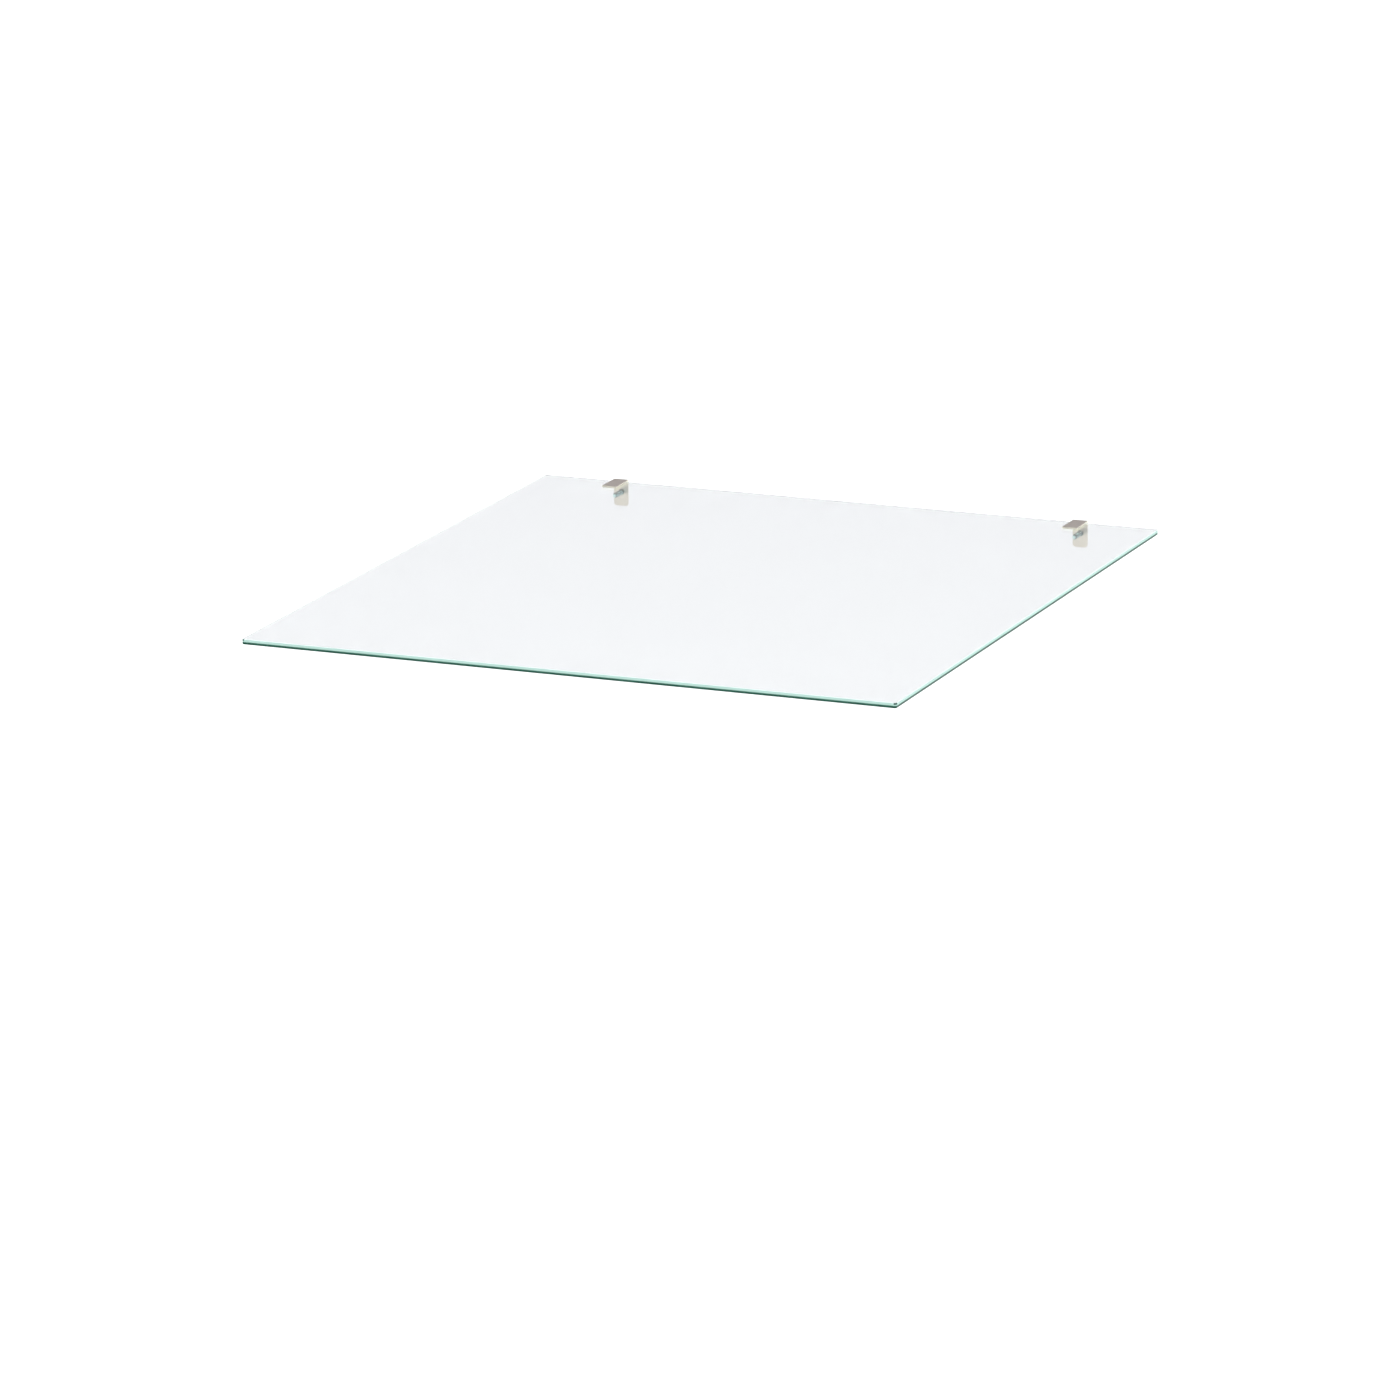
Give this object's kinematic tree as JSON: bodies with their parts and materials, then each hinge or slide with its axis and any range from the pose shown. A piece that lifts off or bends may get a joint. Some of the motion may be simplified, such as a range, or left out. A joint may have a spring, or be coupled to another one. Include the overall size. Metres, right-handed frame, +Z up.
{
  "type": "glass shelf with hook brackets",
  "caption": "Clear glass shelf pane held at its back edge by hook brackets of bent metal strip, with screws that run forward under the glass into the board or panel behind it.",
  "frame": {"origin": "midway between the two screws, on their axis, in the plane where the bracket flanges bear on the back edge of the carrying board", "axes": "+X along the back edge, +Y towards the wall, +Z up"},
  "size_m": [0.512, 0.5837, 0.0245],
  "materials": {
    "glass": "clear, polished ground edges",
    "bracket_metal": "satin nickel plating",
    "screw_metal": "bright blue-passivated zinc"
  },
  "bodies": {
    "brackets": {"bracket_left": "bracket_metal", "bracket_right": "bracket_metal", "screw_left": "screw_metal", "screw_right": "screw_metal"},
    "glass": {"glass_panel": "glass"}
  },
  "joints": [
    {"name": "glass_slide", "type": "slide", "parent": "brackets", "child": "glass", "axis": [0, -1, 0], "range_m": [0, 0.03]}
  ]
}
